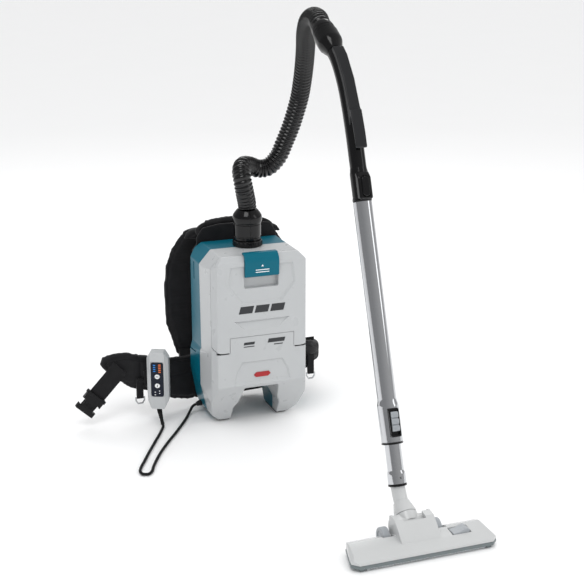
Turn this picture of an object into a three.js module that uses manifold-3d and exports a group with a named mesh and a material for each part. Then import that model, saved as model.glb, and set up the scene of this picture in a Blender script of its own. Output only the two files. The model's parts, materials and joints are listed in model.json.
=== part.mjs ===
// Backpack vacuum cleaner: a standing backpack unit, its harness, a handset on a cord,
// and a hose that leads to a telescopic wand with a floor nozzle.
// Millimetres, +Z up. The backpack's centre plane is X = 0 and its front faces -Y while it
// is built; the whole group is then moved so that the origin is under the object's middle.
import * as THREE from "three";
import { mergeVertices } from "three/addons/utils/BufferGeometryUtils.js";
import Module from "manifold-3d";

const wasm = await Module();
wasm.setup();

// ---------------------------------------------------------------- driving dimensions
const GAP = 0.35; // between pieces that touch
const WALL = 3.5; // moulded housings
const BODY_TOP = 386;
const BODY_FRONT = -66;
const SEAM_Y = 20; // between the front and the rear housing
const BODY_REAR = 98;
const FOOT_PAD = 3; // rubber pad thickness
const DOOR_BACK = -46; // the door is everything of the shell in front of this
const DOOR_BOTTOM = 178.5;
const TONGUE_HALF = 72; // lower panel's tongue between the door's two hinge feet
const TONGUE_TOP = 210;
const CHAMBER_FLOOR = 171;
const CHAMBER_REAR = 54;
const INLET_Y = 26;
const INLET_TOP = 466; // top of the inlet cuff, where the hose starts
const HOSE_RADIUS = 20;
const CORD_RADIUS = 3;
const WAND_X = 69;
const WAND_BASE = [WAND_X, -602, 86]; // lower end of the inner tube
const WAND_TILT = 20; // degrees back from upright
const OUTER_TUBE = { from: 79, to: 517, collar: 157, radius: 17.4, collarRadius: 19.8, bore: 15.6 };
const INNER_TUBE = { from: 3, to: 440, radius: 15, collar: 28, collarRadius: 16.9, bore: 13.8 };
const SOCKET_TURN = 40; // degrees that the handle's hose socket leans from the wand
const NOZZLE = { y: -695, halfWidth: 140.5, front: -36, rear: 36 };
const BARREL = [WAND_X, -655, 31]; // nozzle pitch axis
const BARREL_RADIUS = 18.5;
const SEAM_TILT = 52; // degrees back from upright, of the neck's swivel axis
const NECK_SEAM = [WAND_X, -638, 44];

// ---------------------------------------------------------------- colours
const paint = (color, roughness, metalness = 0) => ({ color, roughness, metalness });
const SHELL_WHITE = paint(0xd9dbdd, 0.4);
const TEAL = paint(0x007a94, 0.35);
const GLOSS_BLACK = paint(0x141416, 0.2);
const SOFT_GREY = paint(0x3a3c40, 0.6);
const DARK_PLASTIC = paint(0x26282b, 0.5);
const NOZZLE_GREY = paint(0x8f9a9c, 0.5);
const POLISHED = paint(0xc9ccd0, 0.2, 1);
const STEEL = paint(0xa8abb0, 0.3, 1);
const RUBBER = paint(0x1b1b1c, 0.85);
const FABRIC = paint(0x1c1d20, 0.95);
const WEBBING = paint(0x17181a, 0.9);
const PAPER = paint(0xe5e1d4, 0.9);
const BRISTLE = paint(0xcfd4d4, 0.7);
const BOARD = paint(0x1d5b38, 0.5);

// ---------------------------------------------------------------- shapes
/** Merge shared vertices, drop collapsed triangles, and make the faces point out. */
function closed(geometry) {
  const bare = geometry.clone();
  bare.deleteAttribute("normal");
  bare.deleteAttribute("uv");
  const merged = mergeVertices(bare, 1e-4);
  const p = merged.attributes.position;
  const kept = [];
  let volume = 0;
  const [a, b, c] = [new THREE.Vector3(), new THREE.Vector3(), new THREE.Vector3()];
  for (let i = 0; i < merged.index.count; i += 3) {
    const [i0, i1, i2] = [0, 1, 2].map((k) => merged.index.getX(i + k));
    if (i0 === i1 || i1 === i2 || i2 === i0) continue;
    kept.push(i0, i1, i2);
    a.fromBufferAttribute(p, i0);
    b.fromBufferAttribute(p, i1);
    c.fromBufferAttribute(p, i2);
    volume += a.dot(b.cross(c));
  }
  if (volume < 0) {
    for (let i = 0; i < kept.length; i += 3) [kept[i], kept[i + 1]] = [kept[i + 1], kept[i]];
  }
  merged.setIndex(kept);
  return merged;
}

function toSolid(geometry) {
  const g = closed(geometry);
  return new wasm.Manifold(new wasm.Mesh({
    numProp: 3,
    vertProperties: new Float32Array(g.attributes.position.array),
    triVerts: new Uint32Array(g.index.array),
  }));
}

function fromSolid(solid) {
  const mesh = solid.getMesh();
  const g = new THREE.BufferGeometry();
  g.setAttribute("position", new THREE.BufferAttribute(new Float32Array(mesh.vertProperties), 3));
  g.setIndex([...mesh.triVerts]);
  return g;
}

const shapeOf = (points) => new THREE.Shape(points.map(([x, y]) => new THREE.Vector2(x, y)));
const extruded = (points, depth) =>
  new THREE.ExtrudeGeometry(shapeOf(points), { depth, bevelEnabled: false });

/** Prism of an (x, y) outline from z0 to z1. */
const prismZ = (points, z0, z1) => extruded(points, z1 - z0).translate(0, 0, z0);
/** Prism of an (x, z) outline from y0 to y1. */
const prismY = (points, y0, y1) => extruded(points, y1 - y0).rotateX(Math.PI / 2).translate(0, y1, 0);
/** Prism of a (y, z) outline from x0 to x1. */
function prismX(points, x0, x1) {
  const turn = new THREE.Matrix4().makeBasis(
    new THREE.Vector3(0, 1, 0), new THREE.Vector3(0, 0, 1), new THREE.Vector3(1, 0, 0));
  return extruded(points, x1 - x0).applyMatrix4(turn).translate(x0, 0, 0);
}

const block = ([x0, y0, z0], [x1, y1, z1]) =>
  new THREE.BoxGeometry(x1 - x0, y1 - y0, z1 - z0)
    .translate((x0 + x1) / 2, (y0 + y1) / 2, (z0 + z1) / 2);

/** Turn a closed (radius, z) profile about the Z axis. */
const turned = (profile, sides = 32) =>
  new THREE.LatheGeometry(profile.map(([r, z]) => new THREE.Vector2(r, z)), sides)
    .rotateX(Math.PI / 2);

const rod = (radius, z0, z1, sides = 32) => turned([[0, z0], [radius, z0], [radius, z1], [0, z1]], sides);
const sleeve = (outer, inner, z0, z1, sides = 32) =>
  turned([[inner, z0], [outer, z0], [outer, z1], [inner, z1], [inner, z0]], sides);

const curveThrough = (route) =>
  new THREE.CatmullRomCurve3(route.map((p) => new THREE.Vector3(...p)), false, "centripetal");

/** Round tube, solid, along a curve through the route's points. */
function swept(route, radius, sides, steps) {
  const section = [];
  for (let i = 0; i < sides; i += 1) {
    const angle = (2 * Math.PI * i) / sides;
    section.push([radius * Math.cos(angle), radius * Math.sin(angle)]);
  }
  return new THREE.ExtrudeGeometry(shapeOf(section),
    { steps, bevelEnabled: false, extrudePath: curveThrough(route) });
}

const mirroredOutline = (half) => [...half, ...half.map(([x, z]) => [-x, z]).reverse()];

/** Move each side of a closed outline inwards by d. */
function inset(points, d) {
  const area = points.reduce((sum, [x, y], i) => {
    const [u, v] = points[(i + 1) % points.length];
    return sum + x * v - u * y;
  }, 0);
  const side = area > 0 ? 1 : -1;
  return points.map((p, i) => {
    const before = points[(i + points.length - 1) % points.length];
    const after = points[(i + 1) % points.length];
    const a = new THREE.Vector2(p[0] - before[0], p[1] - before[1]).normalize();
    const b = new THREE.Vector2(after[0] - p[0], after[1] - p[1]).normalize();
    const n = new THREE.Vector2(-(a.y + b.y), a.x + b.x).normalize();
    const reach = (side * d) / (n.x * -a.y + n.y * a.x);
    return [p[0] + n.x * reach, p[1] + n.y * reach];
  });
}

const join = (...geometries) => geometries.map(toSolid).reduce((a, b) => a.add(b));
const cut = (solid, ...tools) => tools.map((t) => (t.isBufferGeometry ? toSolid(t) : t))
  .reduce((a, b) => a.subtract(b), solid);

// ---------------------------------------------------------------- assembly
const model = new THREE.Group();
const wand = new THREE.Group();
wand.position.set(...WAND_BASE);
wand.rotation.x = THREE.MathUtils.degToRad(-WAND_TILT);
model.add(wand);

/** Add one named piece, from a geometry or from a joined solid. */
function piece(name, shape, look, parent = model) {
  const geometry = closed(shape.isBufferGeometry ? shape : fromSolid(shape));
  const mesh = new THREE.Mesh(geometry, new THREE.MeshStandardMaterial(look));
  mesh.name = name;
  parent.add(mesh);
  return mesh;
}

// ---------------------------------------------------------------- backpack housings
const FRONT_OUTLINE = mirroredOutline([
  [86, BODY_TOP], [111.5, 357], [111.5, 166], [119, 150], [119, 108], [99, 20],
  [80, FOOT_PAD + GAP], [53, FOOT_PAD + GAP], [53, 36], [36, 70],
]);
const SIDE_OUTLINE = [
  [-54, BODY_TOP], [BODY_FRONT, 374], [BODY_FRONT, 100], [-4, FOOT_PAD + GAP],
  [78, FOOT_PAD + GAP], [BODY_REAR, 40], [BODY_REAR, 374], [88, BODY_TOP],
];
const PLAN_OUTLINE = mirroredOutline([
  [100, BODY_REAR], [119, 78], [107.5, -44], [99, BODY_FRONT],
]);

const FRONT_ARCH = mirroredOutline([[38, 92], [54, -8]]);
const ARCH_DEPTH = 14; // the front arch is taller than the rear one as far back as this

/** The backpack's outer form, with every face moved in by d. */
function bodyForm(d) {
  return toSolid(prismY(inset(FRONT_OUTLINE, d), -80, 110))
    .intersect(toSolid(prismX(inset(SIDE_OUTLINE, d), -130, 130)))
    .intersect(toSolid(prismZ(inset(PLAN_OUTLINE, d), -10, 400)))
    .subtract(toSolid(prismY(inset(FRONT_ARCH, -d), -90, ARCH_DEPTH + d)));
}

const outerForm = bodyForm(0);
const innerForm = bodyForm(WALL);
const inFront = (y, z0 = -10) => toSolid(block([-140, -90, z0], [140, y, 420]));
const behind = (y) => toSolid(block([-140, y, -10], [140, 120, 420]));
const inletHole = rod(24, BODY_TOP - 20, BODY_TOP + 10).translate(0, INLET_Y, 0);

function addHousings() {
  const doorRoom = cut(inFront(DOOR_BACK + GAP, DOOR_BOTTOM - 2.2),
    block([-TONGUE_HALF, -90, 100], [TONGUE_HALF, 0, TONGUE_TOP]));
  const front = cut(outerForm.intersect(inFront(SEAM_Y)), innerForm, doorRoom, inletHole);
  piece("front_housing", front, SHELL_WHITE);

  const batteryRoom = block([-33, 39, 40], [33, 93, 80]);
  const sideWindow = block([100, 40, 240], [130, 82, 330]);
  const ventSlot = block([-120, 58, 318], [-105, 62, 352]);
  const rear = cut(outerForm.intersect(behind(SEAM_Y + GAP)), innerForm,
    batteryRoom, sideWindow, ventSlot, inletHole);
  piece("rear_housing", rear, TEAL);

  const wall = join(
    block([-130, CHAMBER_REAR, CHAMBER_FLOOR - 3], [130, CHAMBER_REAR + 3, 400]),
    block([-130, -80, CHAMBER_FLOOR - 3], [130, CHAMBER_REAR + 3, CHAMBER_FLOOR]),
  ).intersect(bodyForm(WALL + GAP));
  const port = block([-60, CHAMBER_REAR - 5, 220], [60, CHAMBER_REAR + 8, 330]);
  const fanInlet = rod(22, 150, 200).translate(0, -10, 0);
  piece("chamber_wall", cut(wall, port, fanInlet), DARK_PLASTIC);

  const slots = [];
  for (let z = 246; z < 325; z += 10) slots.push(block([100, 46, z], [130, 76, z + 5]));
  const grille = cut(toSolid(block([107.8, 40 + GAP, 240 + GAP], [111, 82 - GAP, 330 - GAP])), ...slots);
  piece("exhaust_grille", grille, DARK_PLASTIC);

  for (const [name, side] of [["foot_pad_left", -1], ["foot_pad_right", 1]]) {
    const pad = block([54.5, 2, 0], [78, 74, FOOT_PAD]);
    piece(name, side < 0 ? pad.scale(-1, 1, 1) : pad, RUBBER);
  }
}

// ---------------------------------------------------------------- inside the backpack
function addInternals() {
  const can = turned([[0, 98], [36, 98], [40, 102], [40, 136], [36, 140], [8, 140], [8, 130], [0, 130]]);
  piece("motor", can.translate(0, -10, 0), STEEL);

  const blades = [];
  for (let i = 0; i < 8; i += 1) {
    blades.push(block([10, -1, 144], [34, 1, 160]).rotateZ((i * Math.PI) / 4));
  }
  const fan = join(turned([[0, 132], [5, 132], [5, 142], [36, 142], [36, 144.5], [12, 144.5],
    [8, 160], [0, 160]]), ...blades);
  piece("impeller", fromSolid(fan).translate(0, -10, 0), DARK_PLASTIC);

  piece("battery_pack", block([-32, 40, 76], [32, 92, 162]), DARK_PLASTIC);
  piece("battery_terminal", block([-20, 50, 162 + GAP], [20, 84, CHAMBER_FLOOR - 3 - GAP]), SOFT_GREY);
  piece("control_board", block([88, 40, 96], [90, 88, 158]), BOARD);
  piece("hepa_filter", block([-78, 62, 200], [78, 92, 350]), PAPER);

  const bag = new THREE.SphereGeometry(1, 20, 12).scale(88, 44, 88).translate(0, -4, 268);
  piece("dust_bag", bag, PAPER);
  const card = block([-45, -10, 360], [45, 50, 363]);
  piece("bag_collar", cut(toSolid(card), rod(18, 350, 370).translate(0, INLET_Y, 0)), PAPER);

  const sealRing = cut(bodyForm(WALL + GAP), bodyForm(WALL + 5),
    block([-140, -90, -10], [140, 120, DOOR_BOTTOM + 2]))
    .intersect(toSolid(block([-140, DOOR_BACK + 1.2, 0], [140, DOOR_BACK + 5, 400])));
  const sill = block([-101, DOOR_BACK + 1.2, DOOR_BOTTOM + 1], [101, DOOR_BACK + 5, DOOR_BOTTOM + 6]);
  piece("door_seal", sealRing.add(toSolid(sill)), RUBBER);
}

// ---------------------------------------------------------------- door and latch
function addDoor() {
  const region = cut(inFront(DOOR_BACK, DOOR_BOTTOM),
    block([-TONGUE_HALF - 1, -90, 100], [TONGUE_HALF + 1, 0, TONGUE_TOP + 1]));
  const skin = cut(outerForm, bodyForm(3)).intersect(region);
  const backing = outerForm.intersect(toSolid(block([-44, -70, 309], [44, -48.5, 400])));
  const latchRecess = prismX([[-75, 340], [-61.8, 340], [-61.8, 373], [-59.5, 384], [-56, 386.1],
    [-56, 395], [-75, 395]], -38.8, 38.8);
  const fingerPocket = block([-38.8, -75, 315], [38.8, -52, 341]);
  piece("door", cut(skin.add(backing), latchRecess, fingerPocket), SHELL_WHITE);

  const latch = prismX([[-68, 341], [-70, 372], [-64, 388], [-58, 391.5], [-47, 391.5],
    [-47, 386.6], [-56, 386.6], [-60, 384.2], [-62.4, 373], [-62.4, 341]], -38, 38);
  piece("door_latch", latch, TEAL);
}

// ---------------------------------------------------------------- hose, its cuffs and port
const HOSE_ROUTE = [
  [0, INLET_Y, INLET_TOP + 1.2], [0, INLET_Y, 474], [-11, 10, 509], [-16, 9, 535], [-14, 20, 551],
  [-5, 34, 558], [17, 53, 553], [38, 60, 544], [60, 60, 546], [81, 56, 567], [94, 50, 599],
  [105, 42, 632], [113, 33, 666], [118, 22, 699], [117, 4, 734], [112, -20, 771], [103, -50, 809],
  [92, -81, 842], [85, -112, 867], [81, -146, 879], [76, -184, 879], [69.5, -212, 871.5],
  [69, -220.6, 866.5],
];

function addHose() {
  const port = turned([[22.6, 376], [23.6, 376], [23.6, BODY_TOP + GAP], [31, BODY_TOP + GAP],
    [31, 399], [29, 400], [22.6, 400], [22.6, 376]]);
  piece("inlet_port", port.translate(0, INLET_Y, 0), GLOSS_BLACK);
  const cuff = turned([[16, 378], [22, 378], [22, 400.4], [29, 400.4], [29.4, 404], [29.4, 442],
    [27.5, 452], [23.5, 461], [21.5, INLET_TOP], [16, INLET_TOP], [16, 378]]);
  piece("inlet_cuff", cuff.translate(0, INLET_Y, 0), GLOSS_BLACK);
  piece("suction_hose", swept(HOSE_ROUTE, HOSE_RADIUS, 12, 56), GLOSS_BLACK);
}

// ---------------------------------------------------------------- wand, in its own group
// local Y points to the rear, local Z up along the tubes
const GRIP_ROUTE = [
  [0, 0, OUTER_TUBE.to + GAP], [0, 0, 590], [0, 1, 645], [0, 4.5, 695], [0, 11.5, 738],
  [0, 28, 783], [0, 50, 815],
];
const SOCKET_BASE = [0, 52, 817];

/** Place a piece that was turned about Z on the handle's leaning socket axis. */
const onSocket = (geometry) => geometry
  .rotateX(THREE.MathUtils.degToRad(-SOCKET_TURN)).translate(...SOCKET_BASE);

function addHandle() {
  const pipe = swept(GRIP_ROUTE, 15.2, 16, 16);
  const start = OUTER_TUBE.to + GAP;
  const spigot = rod(15.2, start - 31, start + 7);
  const sleeveEnd = turned([[0, start], [17.4, start], [17.4, 569], [15, 579], [0, 579]]);
  const lockHousing = prismX([[-24, 519], [-24, 559], [-16, 571], [0, 571], [0, 519]], -13, 13);
  const socket = onSocket(turned([[0, -18], [15.8, -18], [22, 0], [24, 12], [24, 36], [0, 36]]));
  const bore = join(swept([[0, 0, start - 43], ...GRIP_ROUTE], 11.5, 12, 18),
    onSocket(rod(18.2, 6, 50)), onSocket(rod(11.5, -12, 20)));
  const handle = cut(join(pipe, spigot, sleeveEnd, lockHousing, socket), bore,
    block([-8, -30, 522], [8, -17.4, 563]));
  piece("handle_pipe", handle, GLOSS_BLACK, wand);

  const cover = prismX([[-6, 648], [-1.5, 695], [5.7, 740], [22.7, 786], [34.5, 804.5], [23.5, 811.5],
    [9.8, 792], [-8.8, 743], [-17, 697], [-19, 686], [-24, 682], [-28.5, 642], [-29, 613],
    [-25, 611], [-22.5, 645], [-19.5, 672], [-16, 668]], -11, 11);
  piece("grip_cover", cut(toSolid(cover), toSolid(swept(GRIP_ROUTE, 15.6, 16, 16))), SOFT_GREY, wand);

  piece("wand_release", block([-7.5, -26, 524], [7.5, -20.4, 561]), GLOSS_BLACK, wand);
  const cuff = turned([[14, 10], [17.8, 10], [17.8, 36.4], [22.5, 36.4], [22.5, 46], [21, 60],
    [14, 60], [14, 10]]);
  piece("handle_cuff", onSocket(cuff), GLOSS_BLACK, wand);
}

function addTubes() {
  const o = OUTER_TUBE;
  const outer = turned([[o.bore, o.from], [o.collarRadius, o.from], [o.collarRadius, o.collar - 12],
    [o.radius, o.collar], [o.radius, o.to], [o.bore, o.to], [o.bore, o.from]], 32);
  const lockSlot = block([-10.4, -30, 87.6], [10.4, -17.3, 140.4]);
  piece("outer_tube", cut(toSolid(outer), lockSlot), POLISHED, wand);
  piece("tube_end_ring", sleeve(20, o.bore, o.from - 4, o.from - GAP), GLOSS_BLACK, wand);

  const bezel = block([-10, -24, 88], [10, -17.6, 140]);
  const bezelSlot = block([-7.4, -30, 92], [7.4, -20, 136]);
  piece("lock_bezel", cut(toSolid(bezel), bezelSlot), GLOSS_BLACK, wand);
  const shoe = prismX([[-20.4, 98], [-25, 98], [-27, 102], [-27, 108], [-25, 111], [-27, 114],
    [-27, 122], [-25, 125], [-25, 134], [-20.4, 134]], -7, 7);
  piece("length_lock", shoe, SOFT_GREY, wand);

  const i = INNER_TUBE;
  const inner = turned([[i.bore, i.from], [i.collarRadius, i.from], [i.collarRadius, i.collar - 6],
    [i.radius, i.collar], [i.radius, i.to], [i.bore, i.to], [i.bore, i.from]], 32);
  const pinHole = rod(2.4, 0, 30, 12).rotateX(Math.PI / 2).translate(0, 0, 14);
  piece("inner_tube", cut(toSolid(inner), pinHole), POLISHED, wand);
  piece("inner_end_ring", sleeve(17.4, i.bore, i.from - 4, i.from - GAP), GLOSS_BLACK, wand);
}

// ---------------------------------------------------------------- nozzle
const tilted = (geometry, degrees, place) =>
  geometry.rotateX(THREE.MathUtils.degToRad(-degrees)).translate(...place);

/** Nozzle plan outline in model coordinates, inset by d. */
function nozzlePlan(d) {
  const { y, halfWidth, front, rear } = NOZZLE;
  return inset(mirroredOutline([
    [halfWidth - 12, y + front], [halfWidth, y + front + 12], [halfWidth - 2, y + front + 24],
    [halfWidth - 15, y + rear],
  ]), d).map(([x, v]) => [x + WAND_X, v]);
}

function addNozzle() {
  const neckRoute = [[-596, 102.4], [-602, 86], [-609, 73], [-617, 62], [-625.5, 54], [-631.7, 49]]
    .map(([y, z]) => [WAND_X, y, z]);
  const neck = swept(neckRoute, 13.2, 20, 12);
  const flare = tilted(turned([[0, GAP], [20.5, GAP], [19.5, 10], [15, 24], [0, 24]]),
    SEAM_TILT, NECK_SEAM);
  piece("nozzle_elbow", join(neck, flare), SHELL_WHITE);

  const barrel = rod(BARREL_RADIUS, -34, 34).rotateY(Math.PI / 2).translate(...BARREL);
  const stub = tilted(rod(20.5, -17, 0), SEAM_TILT, NECK_SEAM);
  piece("nozzle_knuckle", join(barrel, stub), SHELL_WHITE);

  const { y, front, rear } = NOZZLE;
  const lowShell = toSolid(prismX([[y + front + 0.5, 12], [y + front + 2, 16], [y + front + 20, 24],
    [y + rear - 16, 29], [y + rear - 2, 24], [y + rear, 12]], WAND_X - 150, WAND_X + 150));
  const ends = [-1, 1].map((s) => prismY([[s * 150, 10], [s * 141, 14], [s * 118, 40], [s * 150, 40]]
    .map(([x, z]) => [x + WAND_X, z]), y - 60, y + 60));
  const plate = cut(lowShell.intersect(toSolid(prismZ(nozzlePlan(0.5), 12, 40))), ...ends);
  const hump = prismX([[y - 20, 14], [y + 6, 42], [y + 22, 55], [y + 40, 57.5], [y + 46, 54],
    [y + 46, 24], [y + 30, 14]], WAND_X - 38, WAND_X + 38);
  const swing = join(
    rod(BARREL_RADIUS + 0.8, -34.6, 34.6).rotateY(Math.PI / 2).translate(...BARREL),
    prismX([[-660, 51], [-650, 70], [-600, 70], [-600, 8], [-655, 8], [-655, 30]],
      WAND_X - 34.6, WAND_X + 34.6),
    prismX([[-676, 42], [-676, 70], [-640, 70], [-640, 30], [-655, 30]], WAND_X - 21.5, WAND_X + 21.5),
  );
  const wheelRooms = [-1, 1].map((s) => block(
    [WAND_X + Math.min(s * 40, s * 62), -677, 5], [WAND_X + Math.max(s * 40, s * 62), -630, 45]));
  const throat = block([WAND_X - 110, y - 28, 5], [WAND_X + 110, y - 4, 17]);
  const duct = block([WAND_X - 26, y - 20, 5], [WAND_X + 26, y + 26, 22]);
  const pedalRoom = block([WAND_X + 61, y - 9.4, 17], [WAND_X + 98, y + 13.4, 40]);
  piece("nozzle_shell", cut(plate.add(toSolid(hump)), swing, ...wheelRooms, throat, duct, pedalRoom),
    SHELL_WHITE);

  const base = toSolid(prismZ(nozzlePlan(0), 5, 12 - GAP));
  const skids = [-1, 1].map((s) =>
    block([WAND_X + s * 122 - 5, y - 32, 0], [WAND_X + s * 122 + 5, y - 20, 6]));
  const arms = [-1, 1].map((s) => block(
    [WAND_X + Math.min(s * 34.8, s * 39), -672, 5.2], [WAND_X + Math.max(s * 34.8, s * 39), -640, 11.65]));
  const inletSlot = block([WAND_X - 112, y - 24, 0], [WAND_X + 112, y - 6, 20]);
  const brushSlots = [-30, 0].map((v) =>
    block([WAND_X - 116, y + v - 3, 0], [WAND_X + 116, y + v + 3, 20]));
  const sole = cut([...skids, ...arms].map(toSolid).reduce((a, b) => a.add(b), base),
    inletSlot, ...brushSlots,
    ...[-1, 1].map((s) => block([WAND_X + Math.min(s * 40, s * 62), -677, 0],
      [WAND_X + Math.max(s * 40, s * 62), -630, 20])));
  piece("nozzle_sole", sole, NOZZLE_GREY);

  for (const [name, v] of [["brush_front", -30], ["brush_rear", 0]]) {
    piece(name, block([WAND_X - 115, y + v - 2.4, 0.8], [WAND_X + 115, y + v + 2.4, 7]), BRISTLE);
  }
  const pedal = prismY([[63, 20.5], [95, 20.5], [95, 30], [89, 33], [76, 28], [63, 26]]
    .map(([x, z]) => [x + WAND_X, z]), y - 9, y + 13);
  piece("pedal", pedal, NOZZLE_GREY);
  for (const [name, side] of [["wheel_left", -1], ["wheel_right", 1]]) {
    const tyre = turned([[0, -7], [16.5, -7], [18, -5.5], [18, 5.5], [16.5, 7], [0, 7]], 28);
    piece(name, tyre.rotateY(Math.PI / 2).translate(WAND_X + side * 51, -655, 18), NOZZLE_GREY);
  }
}

// ---------------------------------------------------------------- handset and its cord
const HANDSET = { x: -203, y: 40, z: 36, turn: -24, halfWidth: 21, depth: 26, height: 124,
  stretch: [1.12, 1.08, 1.04] };
const CORD_ROUTE = [
  [-113, 62, 21], [-120.5, 61, 18], [-129, 55, 9.5], [-139, 42, 3.7], [-160, 6, 3.5],
  [-188, -38, 3.5], [-218, -83, 3.5], [-244, -125, 3.5], [-264, -162, 3.5], [-278, -191, 3.5],
  [-287, -212, 3.5], [-296, -222, 3.5], [-306, -219, 3.5], [-309, -206, 3.5], [-302, -185, 3.5],
  [-287, -156, 3.5], [-270, -122, 3.5], [-253, -90, 3.5], [-238, -62, 3.5], [-224, -36, 3.5],
  [-211, -10, 3.5], [-205, 3, 3.5], [-203, 11.2, 3.8],
];

function addHandset() {
  const group = new THREE.Group();
  group.position.set(HANDSET.x, HANDSET.y, HANDSET.z);
  group.rotation.z = THREE.MathUtils.degToRad(HANDSET.turn);
  group.scale.set(...HANDSET.stretch);
  model.add(group);
  const { halfWidth: w, depth, height: h } = HANDSET;
  const faceOutline = [[-w + 9, 0], [w - 9, 0], [w - 1, 16], [w, 30], [w, h - 14], [w - 8, h],
    [-w + 8, h], [-w, h - 14], [-w, 30], [-w + 1, 16]];
  const planOutline = [[-w, depth / 2], [-w, -5], [-w + 7, -depth / 2], [w - 7, -depth / 2],
    [w, -5], [w, depth / 2]];
  const caseForm = toSolid(prismY(faceOutline, -20, 20)).intersect(toSolid(prismZ(planOutline, -5, h + 5)));
  const panelRoom = block([-12.4, -20, 27.6], [12.4, -11.8, 103.4]);
  const buttonWell = (z) => rod(5.4, 0, 12, 20).rotateX(Math.PI / 2).translate(0, -2, z);
  piece("handset_case", cut(caseForm, panelRoom, buttonWell(72), buttonWell(52)), SHELL_WHITE, group);
  const panel = cut(toSolid(block([-12, -13.4, 28], [12, -12.1, 103])), buttonWell(72), buttonWell(52));
  piece("handset_panel", panel, GLOSS_BLACK, group);
  const key = (z) => rod(5, 5, 14.2, 20).rotateX(Math.PI / 2).translate(0, 0, z);
  piece("power_button", key(72), TEAL, group);
  piece("mode_button", key(52), PAPER, group);
  piece("belt_clip", prismX([[13.35, 112], [20, 112], [20, 40], [17.5, 40], [17.5, 108], [13.35, 108]],
    -12, 12), DARK_PLASTIC, group);

  const relief = turned([[0, 0], [5.4, 0], [5.4, 6], [3.6, 34], [4.2, 34.5], [4.2, 37], [0, 37]], 16);
  relief.rotateX(Math.PI).rotateX(THREE.MathUtils.degToRad(-44));
  const foot = [HANDSET.x, HANDSET.y - 0.3, HANDSET.z - 4.6];
  piece("handset_relief", relief.translate(...foot), RUBBER);
  piece("handset_cord", swept(CORD_ROUTE, CORD_RADIUS, 8, 72), RUBBER);
  const gland = turned([[0, 0], [7, 0], [7, 4], [4.4, 12], [0, 12]], 20)
    .rotateY(THREE.MathUtils.degToRad(-102.8)).translate(-100.3, 62, 23.8);
  piece("cord_gland", gland, RUBBER);
}

// ---------------------------------------------------------------- harness
/** Outline of a band of even thickness along a line of points. */
function bandOutline(line, thickness) {
  const left = [];
  const right = [];
  line.forEach(([x, y], i) => {
    const [ax, ay] = line[Math.max(i - 1, 0)];
    const [bx, by] = line[Math.min(i + 1, line.length - 1)];
    const n = new THREE.Vector2(ay - by, bx - ax).normalize().multiplyScalar(thickness / 2);
    left.push([x + n.x, y + n.y]);
    right.unshift([x - n.x, y - n.y]);
  });
  return [...left, ...right];
}

/** Flat strap from a to b, its width in the X-Z plane. */
function flatStrap(a, b, width, thickness) {
  const length = Math.hypot(b[0] - a[0], b[2] - a[2]);
  const angle = Math.atan2(b[2] - a[2], b[0] - a[0]);
  return block([0, -thickness / 2, -width / 2], [length, thickness / 2, width / 2])
    .rotateY(-angle).translate(a[0], a[1], a[2]);
}

const LEFT_WING_LINE = [[-3, 131], [-60, 128], [-105, 117], [-150, 101], [-200, 90], [-250, 88],
  [-292, 98], [-316, 114]];
const LEFT_WING_OUTLINE = [[-3, 6], [-92, 9], [-121, 13], [-162, 25], [-219, 55], [-253, 65],
  [-281, 82], [-303, 102], [-320, 124], [-312, 142], [-294, 152], [-265, 155], [-218, 143],
  [-166, 130], [-110, 124], [-3, 122]];
const RIGHT_WING_LINE = [[3, 131], [60, 128], [105, 117], [145, 110], [180, 116], [204, 138],
  [214, 172]];
const RIGHT_WING_OUTLINE = [[3, 6], [92, 9], [130, 24], [170, 48], [219, 66], [219, 100],
  [190, 120], [150, 128], [110, 124], [3, 122]];

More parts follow.
